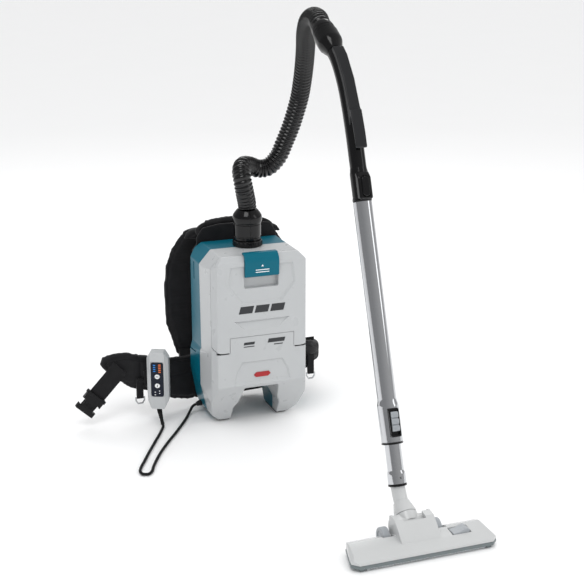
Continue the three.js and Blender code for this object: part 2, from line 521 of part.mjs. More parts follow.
function addHarness() {
  piece("back_pad", prismY([[-96, 128], [96, 128], [108, 200], [104, 370], [84, 396], [-84, 396],
    [-104, 370], [-108, 200]], BODY_REAR + GAP, 118), FABRIC);

  const strapSide = bandOutline([[124, 384], [136, 402], [154, 400], [168, 372], [175, 320],
    [176, 250], [168, 185], [158, 146], [152, 108]], 14);
  const strapFace = [[-46, 420], [-106, 400], [-134, 352], [-148, 316], [-153, 270], [-153, 180],
    [-128, 100], [-70, 100], [-74, 170], [-78, 300], [-44, 360]];
  for (const [name, side] of [["shoulder_strap_left", 1], ["shoulder_strap_right", -1]]) {
    const face = strapFace.map(([x, z]) => [x * side, z]);
    const strap = toSolid(prismX(strapSide, -170, 170)).intersect(toSolid(prismY(face, 100, 200)));
    piece(name, strap, FABRIC);
  }
  const grab = swept([[-80, 110, 396.6], [-84, 115, 403], [-72, 121, 412], [-36, 123, 418.5],
    [0, 123, 420], [36, 123, 418.5], [72, 121, 412], [84, 115, 403], [80, 110, 396.6]], 9, 12, 32);
  piece("carry_handle", cut(toSolid(grab), block([-120, 90, 380], [120, 140, 396.6])), FABRIC);

  for (const [name, line, outline] of [["belt_wing_left", LEFT_WING_LINE, LEFT_WING_OUTLINE],
    ["belt_wing_right", RIGHT_WING_LINE, RIGHT_WING_OUTLINE]]) {
    const wing = toSolid(prismZ(bandOutline(line, 18), 0, 200))
      .intersect(toSolid(prismY(outline, 60, 220)));
    piece(name, wing, FABRIC);
  }
  const leftWeb = [[-278, 74, 124], [-333, 74, 66]];
  piece("belt_web_left", flatStrap(leftWeb[0], leftWeb[1], 40, 2.4), WEBBING);
  const buckleEnd = [-364, 74, 33.3];
  const socketBody = cut(toSolid(flatStrap([-333.4, 74, 65.6], buckleEnd, 46, 12)),
    flatStrap([-345, 74, 53.4], [-370, 74, 27], 30, 6));
  piece("buckle_socket", socketBody, DARK_PLASTIC);

  piece("belt_web_right", block([170, 178, 64], [216, 180.4, 104]), WEBBING);
  const prongs = join(block([150, 174, 65], [170 - GAP, 184.4, 103]),
    block([132, 176, 67], [151, 182.4, 73]), block([132, 176, 95], [151, 182.4, 101]),
    block([128, 176, 81], [151, 182.4, 87]));
  piece("buckle_plug", prongs, DARK_PLASTIC);

  for (const [name, x, y, z] of [["d_ring_left", -236, 76, 50], ["d_ring_right", 176, 99, 46]]) {
    const ring = cut(toSolid(prismY([[-11, 0], [11, 0], [11, -8], [6, -16], [-6, -16], [-11, -8]],
      -1.5, 1.5)), prismY([[-8, -3], [8, -3], [8, -7], [4.6, -13], [-4.6, -13], [-8, -7]], -3, 3));
    piece(name, fromSolid(ring).translate(x, y, z), STEEL);
  }
}

addHousings();
addInternals();
addDoor();
addHose();
addHandle();
addTubes();
addNozzle();
addHandset();
addHarness();

// ---------------------------------------------------------------- origin under the middle
const ON_CORDS = ["suction_hose", "handset_cord", "handset_relief"];
model.updateMatrixWorld(true);
const reach = new THREE.Box3();
model.traverse((part) => {
  if (part.isMesh && !ON_CORDS.includes(part.name)) reach.expandByObject(part, true);
});
const middle = reach.getCenter(new THREE.Vector3());
model.position.set(-middle.x, -middle.y, -reach.min.z);
model.updateMatrixWorld(true);

export default model;
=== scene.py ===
"""Looks of a backpack vacuum cleaner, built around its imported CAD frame.

Shapes are laid out on a bench in millimetres: X = 0 is the backpack's centre plane, its front
faces -Y and Z = 0 is the floor. BENCH takes bench millimetres to the frame's metres.
"""
import json
import math

import bmesh
import bpy
import numpy as np
from mathutils import Matrix, Vector


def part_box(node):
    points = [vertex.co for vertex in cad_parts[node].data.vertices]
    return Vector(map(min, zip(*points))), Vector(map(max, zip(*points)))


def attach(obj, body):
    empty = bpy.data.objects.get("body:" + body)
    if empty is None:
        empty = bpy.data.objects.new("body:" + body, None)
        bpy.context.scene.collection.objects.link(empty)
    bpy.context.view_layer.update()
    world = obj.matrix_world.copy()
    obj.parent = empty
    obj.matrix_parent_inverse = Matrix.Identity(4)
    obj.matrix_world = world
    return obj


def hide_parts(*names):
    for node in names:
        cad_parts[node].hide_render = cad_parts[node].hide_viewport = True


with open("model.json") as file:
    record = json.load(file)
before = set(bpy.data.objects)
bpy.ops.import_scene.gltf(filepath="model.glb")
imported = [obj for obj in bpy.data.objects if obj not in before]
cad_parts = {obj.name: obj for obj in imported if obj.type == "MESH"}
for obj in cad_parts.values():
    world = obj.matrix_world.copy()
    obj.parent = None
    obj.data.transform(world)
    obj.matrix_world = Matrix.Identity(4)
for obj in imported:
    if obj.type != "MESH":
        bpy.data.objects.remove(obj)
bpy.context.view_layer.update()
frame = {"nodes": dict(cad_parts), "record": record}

# ---- bench and wand axes
MM = 0.001
BODY_FRONT = -66
BODY_REAR = 98
BODY_TOP = 386
SEAM_Y = 20
DOOR_BACK = -46
DOOR_BOTTOM = 178.5
INLET_Y = 26
WAND_X = 69
WAND_BASE = (WAND_X, -602, 86)
WAND_TILT = 20
SOCKET_BASE = (0, 52, 817)
SOCKET_TURN = 40



def at(x, y, z):
    return Matrix.Translation((x, y, z))


def turned(degrees, axis):
    return Matrix.Rotation(math.radians(degrees), 4, axis)


housing_low, housing_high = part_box("front_housing")
BENCH = at((housing_low.x + housing_high.x) / 2, housing_low.y - BODY_FRONT * MM, 0) @ Matrix.Scale(MM, 4)
WAND = BENCH @ at(*WAND_BASE) @ turned(-WAND_TILT, "X")
ON_WAND = at(*SOCKET_BASE) @ turned(-SOCKET_TURN, "X")
SOCKET = WAND @ ON_WAND


# ---- materials
SLOT_OF = {  # where a material's name isn't its slot's name
    "nozzle_white": "shell_white", "hose_black": "gloss_black", "wheel_grey": "nozzle_grey",
    "card": "paper", "floor_pale": "", "print_dark": "gloss_black", "print_white": "shell_white",
    "print_red": "shell_white", "print_blue": "gloss_black", "print_orange": "gloss_black",
    "panel_navy": "gloss_black",
}


class Surface:
    """One procedural material: a Principled shader with node helpers."""

    def __init__(self, name, color, roughness, **constant):
        self.material = bpy.data.materials.new(name)
        self.material["slot"] = SLOT_OF.get(name, name)
        self.material.use_nodes = True
        self.tree = self.material.node_tree
        self.shader = self.tree.nodes["Principled BSDF"]
        self.shader.inputs["Base Color"].default_value = (*color, 1)
        self.shader.inputs["Roughness"].default_value = roughness
        self.color = color
        self.roughness = roughness
        for socket, value in constant.items():
            self.shader.inputs[socket.replace("_", " ")].default_value = value
        self.place = self.node("ShaderNodeTexCoord").outputs["Object"]

    def node(self, kind, **settings):
        made = self.tree.nodes.new(kind)
        for key, value in settings.items():
            setattr(made, key, value)
        return made

    def link(self, output, target):
        self.tree.links.new(output, target)

    def stretched(self, scale):
        """Object coordinates scaled along each axis."""
        mapping = self.node("ShaderNodeMapping")
        mapping.inputs["Scale"].default_value = scale
        self.link(self.place, mapping.inputs["Vector"])
        return mapping.outputs["Vector"]

    def noise(self, scale, detail=3, vector=None):
        made = self.node("ShaderNodeTexNoise")
        made.inputs["Scale"].default_value = scale
        made.inputs["Detail"].default_value = detail
        self.link(vector or self.place, made.inputs["Vector"])
        return made.outputs["Fac"]

    def wave(self, scale, direction):
        made = self.node("ShaderNodeTexWave", bands_direction=direction)
        made.inputs["Scale"].default_value = scale
        self.link(self.place, made.inputs["Vector"])
        return made.outputs["Fac"]

    def math(self, operation, a, b):
        made = self.node("ShaderNodeMath", operation=operation)
        for socket, value in zip(made.inputs, (a, b)):
            if isinstance(value, (int, float)):
                socket.default_value = value
            else:
                self.link(value, socket)
        return made.outputs["Value"]

    def spread(self, value, low, high):
        """Map a 0-1 value to the range from low to high."""
        made = self.node("ShaderNodeMapRange")
        made.inputs["To Min"].default_value = low
        made.inputs["To Max"].default_value = high
        self.link(value, made.inputs["Value"])
        return made.outputs["Result"]

    def tint(self, value, dark, light, low=0.3, high=0.7):
        """Base colour that varies between two shades as value goes from low to high."""
        ramp = self.node("ShaderNodeValToRGB")
        for element, position, shade in zip(ramp.color_ramp.elements, (low, high), (dark, light)):
            element.position = position
            element.color = (*[c * shade for c in self.color], 1)
        self.link(value, ramp.inputs["Fac"])
        self.link(ramp.outputs["Color"], self.shader.inputs["Base Color"])
        return self

    def rough(self, value, spread):
        low = max(0.02, self.roughness - spread)
        self.link(self.spread(value, low, self.roughness + spread), self.shader.inputs["Roughness"])
        return self

    def bump(self, height, strength, distance):
        made = self.node("ShaderNodeBump")
        made.inputs["Strength"].default_value = strength
        made.inputs["Distance"].default_value = distance
        self.link(height, made.inputs["Height"])
        self.link(made.outputs["Normal"], self.shader.inputs["Normal"])
        return self


def moulded(name, color, roughness, grain=2600, depth=0.00004, **constant):
    """Moulded plastic: fine spark grain, faint flow shading and handling gloss."""
    s = Surface(name, color, roughness, **constant)
    s.tint(s.noise(14, 4), 0.985, 1.01)
    s.rough(s.noise(42, 5), 0.02)
    return s.bump(s.noise(grain, 2), 0.12, depth).material


def polished(name, color, roughness):
    """Drawn metal tube: fine lines along the wand and soft smears."""
    s = Surface(name, color, roughness, Metallic=1.0)
    lines = s.noise(1, 6, s.stretched((2600, 900, 12)))
    s.tint(lines, 0.94, 1.03)
    s.rough(s.math("MULTIPLY", lines, s.noise(30, 4)), 0.07)
    return s.bump(lines, 0.05, 0.00002).material


def woven(name, color, roughness, pitch, depth, sheen=0.35):
    """Plain-woven nylon: crossed threads with dusty variation."""
    s = Surface(name, color, roughness, Sheen_Weight=sheen, Sheen_Roughness=0.4,
                Specular_IOR_Level=0.22)
    scale = math.pi / pitch / 10
    warp = s.wave(scale, "X")
    weft = s.wave(scale, "Z")
    side = s.wave(scale, "Y")
    threads = s.math("MAXIMUM", s.math("MULTIPLY", warp, weft), s.math("MULTIPLY", weft, side))
    dust = s.noise(55, 5)
    s.tint(s.math("ADD", s.math("MULTIPLY", threads, 0.35), s.math("MULTIPLY", dust, 0.65)), 0.7, 1.35)
    s.rough(dust, 0.06)
    return s.bump(s.math("ADD", threads, s.math("MULTIPLY", s.noise(260, 3), 0.8)), 0.6, depth).material


def pleated(name, color):
    """Filter paper, folded in even pleats."""
    s = Surface(name, color, 0.9)
    folds = s.wave(60, "X")
    # The fold wave also darkens the colour in the pleat valleys: painted shade of the folds, speckled by fine
    # noise.
    s.tint(s.math("MULTIPLY", folds, s.noise(300, 3)), 0.75, 1.05, 0.1, 0.6)
    return s.bump(folds, 0.8, 0.001).material


WHITE = moulded("shell_white", (0.455, 0.468, 0.475), 0.28, depth=0.00001)
WHITE_LIGHT = moulded("nozzle_white", (0.5, 0.508, 0.508), 0.22, depth=0.00001)
TEAL = moulded("teal", (0.0, 0.115, 0.17), 0.3, Specular_IOR_Level=0.22)
GLOSS = moulded("gloss_black", (0.003, 0.003, 0.0034), 0.12, grain=900, depth=0.00001,
                Specular_IOR_Level=0.35)
HOSE = moulded("hose_black", (0.003, 0.003, 0.0034), 0.16, grain=900, depth=0.00002,
               Specular_IOR_Level=0.5)
SOFT_GREY = moulded("soft_grey", (0.012, 0.0125, 0.014), 0.4, Specular_IOR_Level=0.35)
DARK = moulded("dark_plastic", (0.004, 0.0043, 0.005), 0.4, Specular_IOR_Level=0.25)
BUMPER = moulded("nozzle_grey", (0.14, 0.165, 0.17), 0.4)
WHEEL = moulded("wheel_grey", (0.33, 0.35, 0.37), 0.35)
TUBE = polished("polished_tube", (0.62, 0.63, 0.65), 0.12)
STEEL = polished("steel", (0.55, 0.56, 0.58), 0.24)
RUBBER = moulded("rubber", (0.005, 0.005, 0.0055), 0.55, grain=1500, depth=0.0001,
                 Specular_IOR_Level=0.25)
FABRIC = woven("fabric_black", (0.011, 0.011, 0.0125), 0.62, 0.0011, 0.00018, 0.12)
WEBBING = woven("webbing", (0.008, 0.008, 0.009), 0.6, 0.0018, 0.0003, 0.08)
PAPER = pleated("paper", (0.8, 0.77, 0.68))
BRISTLE = moulded("bristle", (0.62, 0.66, 0.68), 0.5, grain=4000, depth=0.0004, Alpha=0.75)
BOARD = moulded("board", (0.02, 0.12, 0.05), 0.4)
CARD = moulded("card", (0.6, 0.5, 0.36), 0.85, grain=700, depth=0.0002)

CAD_LOOKS = (
    (WHITE, "front_housing door handset_case mode_button"),
    (TEAL, "rear_housing door_latch power_button"),
    (DARK, "chamber_wall exhaust_grille battery_pack impeller belt_clip buckle_socket buckle_plug"),
    (SOFT_GREY, "battery_terminal grip_cover length_lock"),
    (RUBBER, "foot_pad_left foot_pad_right door_seal cord_gland handset_relief handset_cord"),
    (STEEL, "motor d_ring_left d_ring_right"),
    (BOARD, "control_board"),
    (PAPER, "hepa_filter dust_bag"),
    (CARD, "bag_collar"),
    (GLOSS, "inlet_port inlet_cuff handle_pipe wand_release handle_cuff tube_end_ring inner_end_ring"),
    (GLOSS, "lock_bezel handset_panel"),
    (TUBE, "outer_tube inner_tube"),
    (WHITE_LIGHT, "nozzle_elbow nozzle_knuckle nozzle_shell"),
    (BUMPER, "nozzle_sole"),
    (BRISTLE, "brush_front brush_rear"),
    (WHEEL, "pedal wheel_left wheel_right"),
    (HOSE, "suction_hose"),
    (FABRIC, "back_pad carry_handle shoulder_strap_left shoulder_strap_right"),
    (FABRIC, "belt_wing_left belt_wing_right"),
    (WEBBING, "belt_web_left belt_web_right"),
)
CAD_MATERIALS = {node: look for look, nodes in CAD_LOOKS for node in nodes.split()}
for node, look in CAD_MATERIALS.items():
    mesh = frame["nodes"][node].data
    mesh.materials.clear()
    mesh.materials.append(look)

NODE_BODY = {node: body for body, nodes in frame["record"]["behaviour"]["bodies"].items() for node in nodes}


# ---- mesh tools (millimetres)
def new_object(mesh):
    made = bpy.data.objects.new("work", mesh)
    bpy.context.scene.collection.objects.link(made)
    return made


def mesh_object(vertices, faces):
    mesh = bpy.data.meshes.new("work")
    mesh.from_pydata([tuple(map(float, v)) for v in vertices], [], [tuple(map(int, f)) for f in faces])
    mesh.update()
    return new_object(mesh)


def edit(obj, change):
    """Run change(bmesh) on an object's mesh."""
    work = bmesh.new()
    work.from_mesh(obj.data)
    change(work)
    work.normal_update()
    work.to_mesh(obj.data)
    work.free()
    return obj


def outward(obj):
    return edit(obj, lambda work: bmesh.ops.recalc_face_normals(work, faces=work.faces))


def settle(obj):
    """Apply every modifier of an object."""
    bpy.context.view_layer.update()
    graph = bpy.context.evaluated_depsgraph_get()
    mesh = bpy.data.meshes.new_from_object(obj.evaluated_get(graph))
    obj.modifiers.clear()
    obj.data = mesh
    return obj


def loft(axis, near, far, near_at, far_at):
    """Closed solid between two outlines, in the two other axes' order, at two places on axis."""
    place = {
        "x": lambda u, v, w: (w, u, v), "y": lambda u, v, w: (u, w, v), "z": lambda u, v, w: (u, v, w),
    }[axis]
    n = len(near)
    vertices = [place(u, v, w) for outline, w in ((near, near_at), (far, far_at)) for u, v in outline]
    faces = [tuple(range(n)), tuple(range(n, 2 * n))]
    faces += [(i, (i + 1) % n, n + (i + 1) % n, n + i) for i in range(n)]
    return outward(mesh_object(vertices, faces))


def prism(axis, outline, low, high):
    return loft(axis, outline, outline, low, high)


def block(low, high):
    (x0, y0, z0), (x1, y1, z1) = low, high
    return prism("z", [(x0, y0), (x1, y0), (x1, y1), (x0, y1)], z0, z1)


def lathe(profile, sides=96, place=Matrix.Identity(4)):
    """Turn a (radius, z) profile about Z. It closes on itself, or starts and ends on the axis."""
    rings = profile[:-1] if profile[0] == profile[-1] else profile
    vertices = []
    for i in range(sides):
        angle = 2 * math.pi * i / sides
        vertices += [(r * math.cos(angle), r * math.sin(angle), z) for r, z in rings]
    m = len(rings)
    last = m if profile[0] == profile[-1] else m - 1
    faces = []
    for i in range(sides):
        a, b = i * m, ((i + 1) % sides) * m
        faces += [(a + k, b + k, b + (k + 1) % m, a + (k + 1) % m) for k in range(last)]
    made = mesh_object(vertices, faces)
    edit(made, lambda work: bmesh.ops.remove_doubles(work, verts=work.verts, dist=1e-4))
    made.data.transform(place)
    return outward(made)


def combine(base, join=(), cut=(), common=()):
    """Boolean joins, then cuts, then intersections."""
    for others, operation in ((join, "UNION"), (cut, "DIFFERENCE"), (common, "INTERSECT")):
        for other in others:
            modifier = base.modifiers.new("boolean", "BOOLEAN")
            modifier.solver = "EXACT"
            modifier.operation = operation
            modifier.object = other
    settle(base)
    for other in (*join, *cut, *common):
        bpy.data.objects.remove(other)
    return base


def flatten(obj, angle=0.6):
    """Merge coplanar faces."""
    def change(work):
        bmesh.ops.remove_doubles(work, verts=work.verts, dist=0.01)
        bmesh.ops.dissolve_limit(work, angle_limit=math.radians(angle), verts=work.verts, edges=work.edges)
    return edit(obj, change)


def bevel(obj, width, segments=3, angle=25):
    flatten(obj)
    modifier = obj.modifiers.new("bevel", "BEVEL")
    modifier.width = width
    modifier.segments = segments
    modifier.angle_limit = math.radians(angle)
    modifier.miter_outer = "MITER_ARC"
    return settle(obj)


def smooth_shade(obj, angle=32):
    mesh = obj.data
    mesh.polygons.foreach_set("use_smooth", [True] * len(mesh.polygons))
    mesh.set_sharp_from_angle(angle=math.radians(angle))
    return obj


def finish_piece(obj, name, material, node=None, body=None, place=BENCH, angle=32,
                 weighted=True):
    """Name a finished mesh, give it its material, and let it ride, for a CAD node or on a body."""
    obj.data.transform(place)
    obj.name = name
    obj.data.name = name
    obj.data.materials.clear()
    obj.data.materials.append(material)
    smooth_shade(obj, angle)
    if weighted:
        modifier = obj.modifiers.new("normals", "WEIGHTED_NORMAL")
        modifier.keep_sharp = True
        settle(obj)
    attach(obj, body or NODE_BODY[node])
    if node:
        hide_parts(node)
    return obj


def distances(points):
    """How far along the line through the points each of them is."""
    return np.concatenate([[0], np.cumsum(np.linalg.norm(np.diff(points, axis=0), axis=1))])


def unit(rows):
    return rows / np.linalg.norm(rows, axis=1)[:, None]


def smooth_route(points, step):
    """Centripetal Catmull-Rom curve: points about one step apart, and the curve's length."""
    p = np.array(points, float)
    p = np.vstack([2 * p[0] - p[1], p, 2 * p[-1] - p[-2]])
    fine = []
    for a, b, c, d in zip(p, p[1:], p[2:], p[3:]):
        t0 = 0.0
        t1 = t0 + np.linalg.norm(b - a) ** 0.5
        t2 = t1 + np.linalg.norm(c - b) ** 0.5
        t3 = t2 + np.linalg.norm(d - c) ** 0.5
        t = np.linspace(t1, t2, 40, endpoint=False)[:, None]
        ab = (t1 - t) / (t1 - t0) * a + (t - t0) / (t1 - t0) * b
        bc = (t2 - t) / (t2 - t1) * b + (t - t1) / (t2 - t1) * c
        cd = (t3 - t) / (t3 - t2) * c + (t - t2) / (t3 - t2) * d
        abc = (t2 - t) / (t2 - t0) * ab + (t - t0) / (t2 - t0) * bc
        bcd = (t3 - t) / (t3 - t1) * bc + (t - t1) / (t3 - t1) * cd
        fine.extend((t2 - t) / (t2 - t1) * abc + (t - t1) / (t2 - t1) * bcd)
    fine = np.array([*fine, p[-2]])
    along = distances(fine)
    even = np.linspace(0, along[-1], max(2, round(along[-1] / step) + 1))
    return np.stack([np.interp(even, along, fine[:, k]) for k in range(3)], axis=1), along[-1]


def tube_along(route, radius, sides=32, hint=(0, 1, 0)):
    """Closed round tube along route; radius is a number or a function of (length, angle)."""
    r = radius if callable(radius) else lambda along, angle: radius
    tangents = unit(np.gradient(route, axis=0))
    side = np.cross(tangents[0], hint)
    side /= np.linalg.norm(side)
    vertices = []
    for point, tangent, s in zip(route, tangents, distances(route)):
        side = side - tangent * (side @ tangent)
        side /= np.linalg.norm(side)
        up = np.cross(tangent, side)
        for k in range(sides):
            angle = 2 * math.pi * k / sides
            vertices.append(point + r(s, angle) * (side * math.cos(angle) + up * math.sin(angle)))
    rings = len(route)
    faces = [(i * sides + k, i * sides + (k + 1) % sides, (i + 1) * sides + (k + 1) % sides,
              (i + 1) * sides + k) for i in range(rings - 1) for k in range(sides)]
    faces += [tuple(range(sides)), tuple((rings - 1) * sides + k for k in range(sides))]
    return outward(mesh_object(vertices, faces))


# ---- camera, floor and light
CAMERA_PLACE = (-867.7, -2541.4, 1098)
CAMERA_LENS = 80.1
CAMERA_DIP = 16.8
CAMERA_TURN = -20.7
EXPOSURE = 0.28


def add_camera():
    data = bpy.data.cameras.new("camera")
    data.sensor_width = 36
    data.lens = CAMERA_LENS
    data.clip_end = 100
    camera = bpy.data.objects.new("camera", data)
    camera.location = BENCH @ Vector(CAMERA_PLACE)
    camera.rotation_euler = (math.radians(90 - CAMERA_DIP), 0, math.radians(CAMERA_TURN))
    bpy.context.scene.collection.objects.link(camera)
    bpy.context.scene.camera = camera


def add_area(name, place, target, size, power):
    data = bpy.data.lights.new(name, "AREA")
    data.shape = "RECTANGLE"
    data.size, data.size_y = size
    data.energy = power
    lamp = bpy.data.objects.new(name, data)
    lamp.location = place
    lamp.rotation_euler = (Vector(target) - Vector(place)).to_track_quat("-Z", "Y").to_euler()
    bpy.context.scene.collection.objects.link(lamp)


def add_floor():
    floor = mesh_object([(-30, -30, 0), (30, -30, 0), (30, 30, 0), (-30, 30, 0)], [(0, 1, 2, 3)])
    floor.name = "floor"
    floor.location.z = -0.0005
    pale = Surface("floor_pale", (0.93, 0.93, 0.93), 0.6)
    pale.tint(pale.noise(3, 2), 0.995, 1.0)
    floor.data.materials.append(pale.material)


def add_world():
    """White behind the object, shaded from side to side as a light, and dimmer in its gloss."""
    world = bpy.data.worlds.new("studio")
    world.use_nodes = True
    new, link = world.node_tree.nodes.new, world.node_tree.links.new
    background = world.node_tree.nodes["Background"]
    direction = new("ShaderNodeTexCoord")
    parts = new("ShaderNodeSeparateXYZ")
    link(direction.outputs["Generated"], parts.inputs["Vector"])
    shade = new("ShaderNodeValToRGB")
    for element, position, color in zip(shade.color_ramp.elements, (0.12, 0.75), (
            (0.66, 0.665, 0.675, 1), (0.98, 0.98, 0.98, 1))):
        element.position = position
        element.color = color
    half = new("ShaderNodeMapRange")
    half.inputs["From Min"].default_value = -1
    link(parts.outputs["X"], half.inputs["Value"])
    link(half.outputs["Result"], shade.inputs["Fac"])
    seen = new("ShaderNodeLightPath")
    mix = new("ShaderNodeMix")
    mix.data_type = "RGBA"
    color_a, color_b, mixed = mix.inputs[6], mix.inputs[7], mix.outputs[2]
    color_b.default_value = (1, 1, 1, 1)
    link(seen.outputs["Is Camera Ray"], mix.inputs["Factor"])
    link(shade.outputs["Color"], color_a)
    dim = new("ShaderNodeMapRange")
    dim.inputs["To Min"].default_value = 1.0
    dim.inputs["To Max"].default_value = 0.38
    link(seen.outputs["Is Glossy Ray"], dim.inputs["Value"])
    link(dim.outputs["Result"], background.inputs["Strength"])
    link(mixed, background.inputs["Color"])
    bpy.context.scene.world = world


def add_lamps():
    middle = (0, 0, 0.4)
    add_area("key", (-1.0, -1.4, 3.2), middle, (1.6, 1.6), 25)
    add_area("fill", (2.4, -1.6, 1.8), middle, (0.8, 2.0), 6)
    add_area("rim", (0.8, 2.4, 2.2), middle, (2.0, 1.0), 12)


add_camera()
add_floor()
add_world()
add_lamps()
bpy.context.scene.view_settings.view_transform = "Standard"
bpy.context.scene.view_settings.exposure = EXPOSURE


# ---- hose and handset cord
HOSE_RADIUS = 20
HOSE_PITCH = 8.2
HOSE_RIB = 2.3
HOSE_ROUTE = [
    (0, 26, 467.2), (0, 26, 474), (-11, 10, 509), (-16, 9, 535), (-14, 20, 551), (-5, 34, 558),
    (17, 53, 553), (38, 60, 544), (60, 60, 546), (81, 56, 567), (94, 50, 599), (105, 42, 632),
    (113, 33, 666), (118, 22, 699), (117, 4, 734), (112, -20, 771), (103, -50, 809), (92, -81, 842),
    (85, -112, 867), (81, -146, 879), (76, -184, 879), (69.5, -212, 871.5), (69, -220.6, 866.5),
]
CORD_RADIUS = 3
CORD_ROUTE = [
    (-113, 62, 21), (-120.5, 61, 18), (-129, 55, 9.5), (-139, 42, 3.7), (-160, 6, 3.5),
    (-188, -38, 3.5), (-218, -83, 3.5), (-244, -125, 3.5), (-264, -162, 3.5), (-278, -191, 3.5),
    (-287, -212, 3.5), (-296, -222, 3.5), (-306, -219, 3.5), (-309, -206, 3.5), (-302, -185, 3.5),
    (-287, -156, 3.5), (-270, -122, 3.5), (-253, -90, 3.5), (-238, -62, 3.5), (-224, -36, 3.5),
    (-211, -10, 3.5), (-205, 3, 3.5), (-203, 11.2, 3.8),
]


def add_cords():
    """The ribbed hose, and the handset's round cord."""
    route, length = smooth_route(HOSE_ROUTE, HOSE_PITCH / 8)

    def rib(along, angle):
        turn = along / HOSE_PITCH - angle / (2 * math.pi)
        return HOSE_RADIUS - HOSE_RIB + HOSE_RIB * (0.5 + 0.5 * math.cos(2 * math.pi * turn)) ** 0.7

    hose = finish_piece(tube_along(route, rib, 48), "ribbed_hose", HOSE, node="suction_hose", angle=80,
                        weighted=False)

    route, length = smooth_route(CORD_ROUTE, 2.5)
    cable = finish_piece(tube_along(route, CORD_RADIUS, 20), "handset_cable", RUBBER,
                         node="handset_cord", angle=60, weighted=False)


# ---- print colours and shared shaping helpers
PRINT_DARK = moulded("print_dark", (0.02, 0.022, 0.025), 0.4)
PRINT_WHITE = moulded("print_white", (0.85, 0.86, 0.87), 0.4)
PRINT_RED = moulded("print_red", (0.35, 0.008, 0.012), 0.35)
PRINT_BLUE = moulded("print_blue", (0.01, 0.2, 0.62), 0.35)
PRINT_ORANGE = moulded("print_orange", (0.75, 0.16, 0.03), 0.4)
PANEL_NAVY = moulded("panel_navy", (0.003, 0.006, 0.016), 0.25, Specular_IOR_Level=0.25)


def mirrored(half):
    """Symmetric outline from its right half, given from the top down."""
    return [*half, *[(-u, v) for u, v in reversed(half)]]


def inset(outline, distance):
    """Outline with every side moved inwards by distance."""
    p = np.array(outline, float)
    following = np.roll(p, -1, axis=0)
    area = np.sum(p[:, 0] * following[:, 1] - following[:, 0] * p[:, 1])
    along = unit(following - p)
    inwards = np.stack([-along[:, 1], along[:, 0]], axis=1) * np.sign(area)
    moved = []
    for i in range(len(p)):
        a, b = along[i - 1], along[i]
        start = p[i - 1] + inwards[i - 1] * distance
        target = p[i] + inwards[i] * distance
        cross = a[0] * b[1] - a[1] * b[0]
        if abs(cross) < 1e-6:
            moved.append(tuple(target))
            continue
        reach = ((target[0] - start[0]) * b[1] - (target[1] - start[1]) * b[0]) / cross
        moved.append(tuple(start + a * reach))
    return moved


def arc(centre, radius, start, end, steps=8):
    """Points on a circle from start to end degrees."""
    turns = [math.radians(start + (end - start) * i / steps) for i in range(steps + 1)]
    return [(centre[0] + radius * math.cos(t), centre[1] + radius * math.sin(t)) for t in turns]


def rounded_rectangle(u0, v0, u1, v1, radius, steps=6):
    corners = ((u1 - radius, v1 - radius), (u0 + radius, v1 - radius),
               (u0 + radius, v0 + radius), (u1 - radius, v0 + radius))
    return [p for k, corner in enumerate(corners) for p in arc(corner, radius, 90 * k, 90 * k + 90, steps)]


def tapered(axis, outline, near, far, near_at, far_at):
    """Closed solid between an outline inset by near at near_at and by far at far_at."""
    return loft(axis, inset(outline, near), inset(outline, far), near_at, far_at)


def copy_of(node):
    """A CAD node's mesh as a new object in bench millimetres."""
    source = frame["nodes"][node]
    made = new_object(source.data.copy())
    made.data.transform(BENCH.inverted() @ source.matrix_world)
    return made


def rounded(node, width, segments=3, angle=25):
    """A CAD node's shape with softened edges."""
    finish_piece(bevel(copy_of(node), width, segments, angle), f"{node}_shape", CAD_MATERIALS[node],
                 node=node)


# ---- backpack housings
FRONT_OUTLINE = mirrored([(86, 386), (111.5, 357), (111.5, 166), (119, 150), (119, 108), (99, 20),
                          (80, 3.35), (53, 3.35), (53, 36), (36, 70)])
SIDE_OUTLINE = [(-54, 386), (-66, 374), (-66, 100), (-4, 3.35), (78, 3.35), (98, 40), (98, 374), (88, 386)]
PLAN_OUTLINE = mirrored([(100, 98), (119, 78), (107.5, -44), (99, -66)])
FRONT_ARCH = mirrored([(38, 92), (54, -8)])
ARCH_DEPTH = 14
WALL = 3.5
SEAM = 0.9
TONGUE_HALF = 71.4
TONGUE_TOP = 210


def body_form(d, edge=0.0):
    form = combine(prism("y", inset(FRONT_OUTLINE, d), -80, 110), common=(
        prism("x", inset(SIDE_OUTLINE, d), -130, 130), prism("z", inset(PLAN_OUTLINE, d), -10, 400)))
    combine(form, cut=(prism("y", inset(FRONT_ARCH, -d), -90, ARCH_DEPTH + d),))
    return bevel(form, edge, 7, 14) if edge else form


def door_region(grow=0.0):
    """Everything of the shell that belongs to the door, grown by the seam's width."""
    corner = 20
    middle = DOOR_BOTTOM + corner
    outline = [(-113, 420), *arc((-109 + corner, middle), corner + grow, 180, 270),
               *arc((109 - corner, middle), corner + grow, 270, 360), (113, 420)]
    region = prism("y", outline, -90, DOOR_BACK + grow)
    half = TONGUE_HALF + SEAM - grow
    top = TONGUE_TOP + SEAM - grow
    tongue = prism("y", [(-half, 100), (-half, top), (half, top), (half, 100)], -100, 0)
    return combine(region, cut=(tongue,))


def facets(front):
    """Cutters of the front face's three sunk facets."""
    upper = mirrored([(70, 366), (76, 322), (44, 282)])
    wedge = mirrored([(62, 246), (38, 226)])
    stepped = mirrored([(46, 154), (60, 128), (64, 104)])
    slope = prism("x", [(front - 1, 247), (front + 4.2, 246.2), (front + 0.02, 226), (front - 1, 225)],
                  -90, 90)
    return [
        tapered("y", upper, -1, 4.5, front - 0.4, front + 3.0),
        combine(slope, common=(tapered("y", wedge, -0.5, 3, front - 0.4, front + 4.6),)),
        tapered("y", stepped, -1, 3.6, front - 0.4, front + 2.6),
    ]


